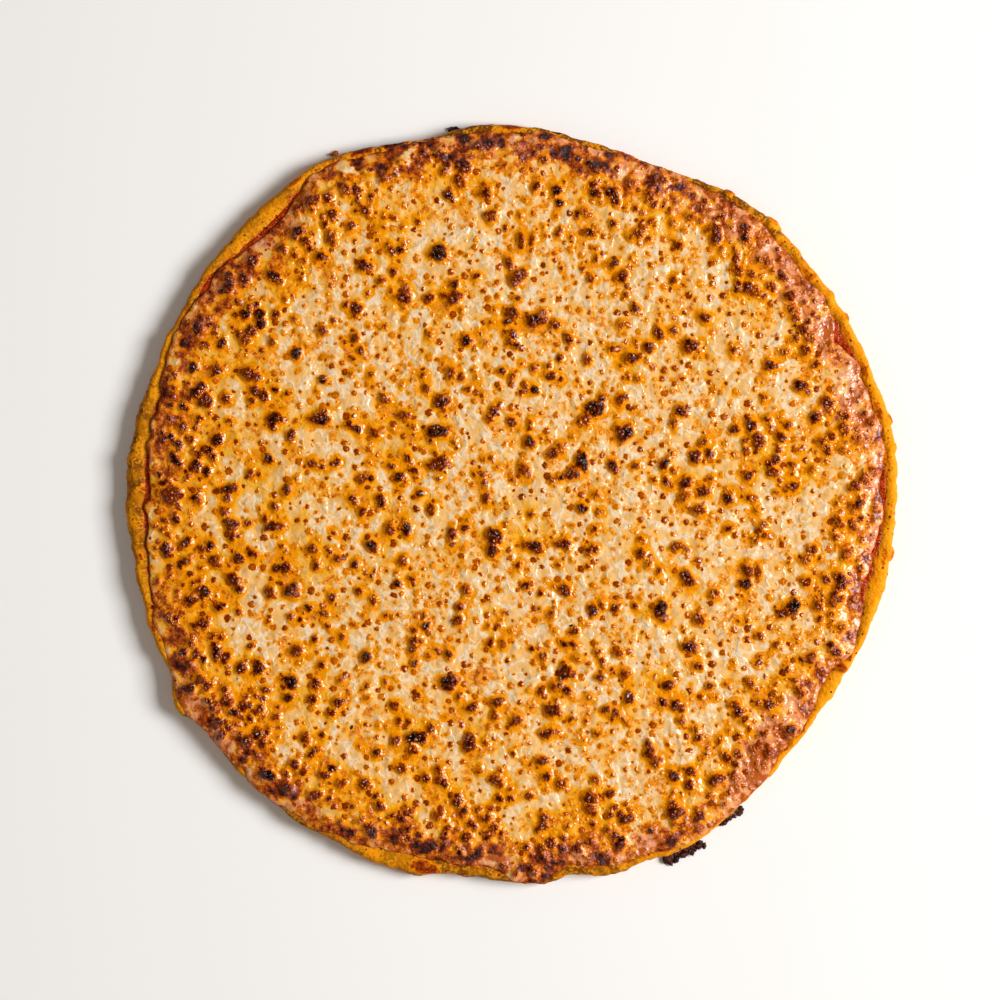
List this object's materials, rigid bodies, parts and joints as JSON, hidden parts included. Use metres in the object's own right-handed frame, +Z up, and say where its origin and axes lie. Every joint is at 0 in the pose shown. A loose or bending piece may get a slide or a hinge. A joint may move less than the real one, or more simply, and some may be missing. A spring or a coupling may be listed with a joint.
{
  "type": "cheese pizza",
  "caption": "Thin round pizza with a low uneven crust rim, a film of tomato sauce and a blistered sheet of melted cheese.",
  "frame": {"origin": "middle of the flat underside of the crust, on the surface the pizza lies on", "axes": "+Z up through the pizza's thickness; +X to the right and +Y to the top of the picture, which looks straight down"},
  "size_m": [0.3084, 0.3036, 0.0121],
  "materials": {
    "crust": "dry baked crust, golden yellow with toasted brown patches and dark specks",
    "sauce": "moist dark red tomato sauce",
    "cheese": "melted cream cheese surface with golden to dark brown blisters and an oily sheen"
  },
  "bodies": {
    "root": {"dough": "crust", "tomato_sauce": "sauce", "melted_cheese": "cheese"}
  },
  "joints": []
}
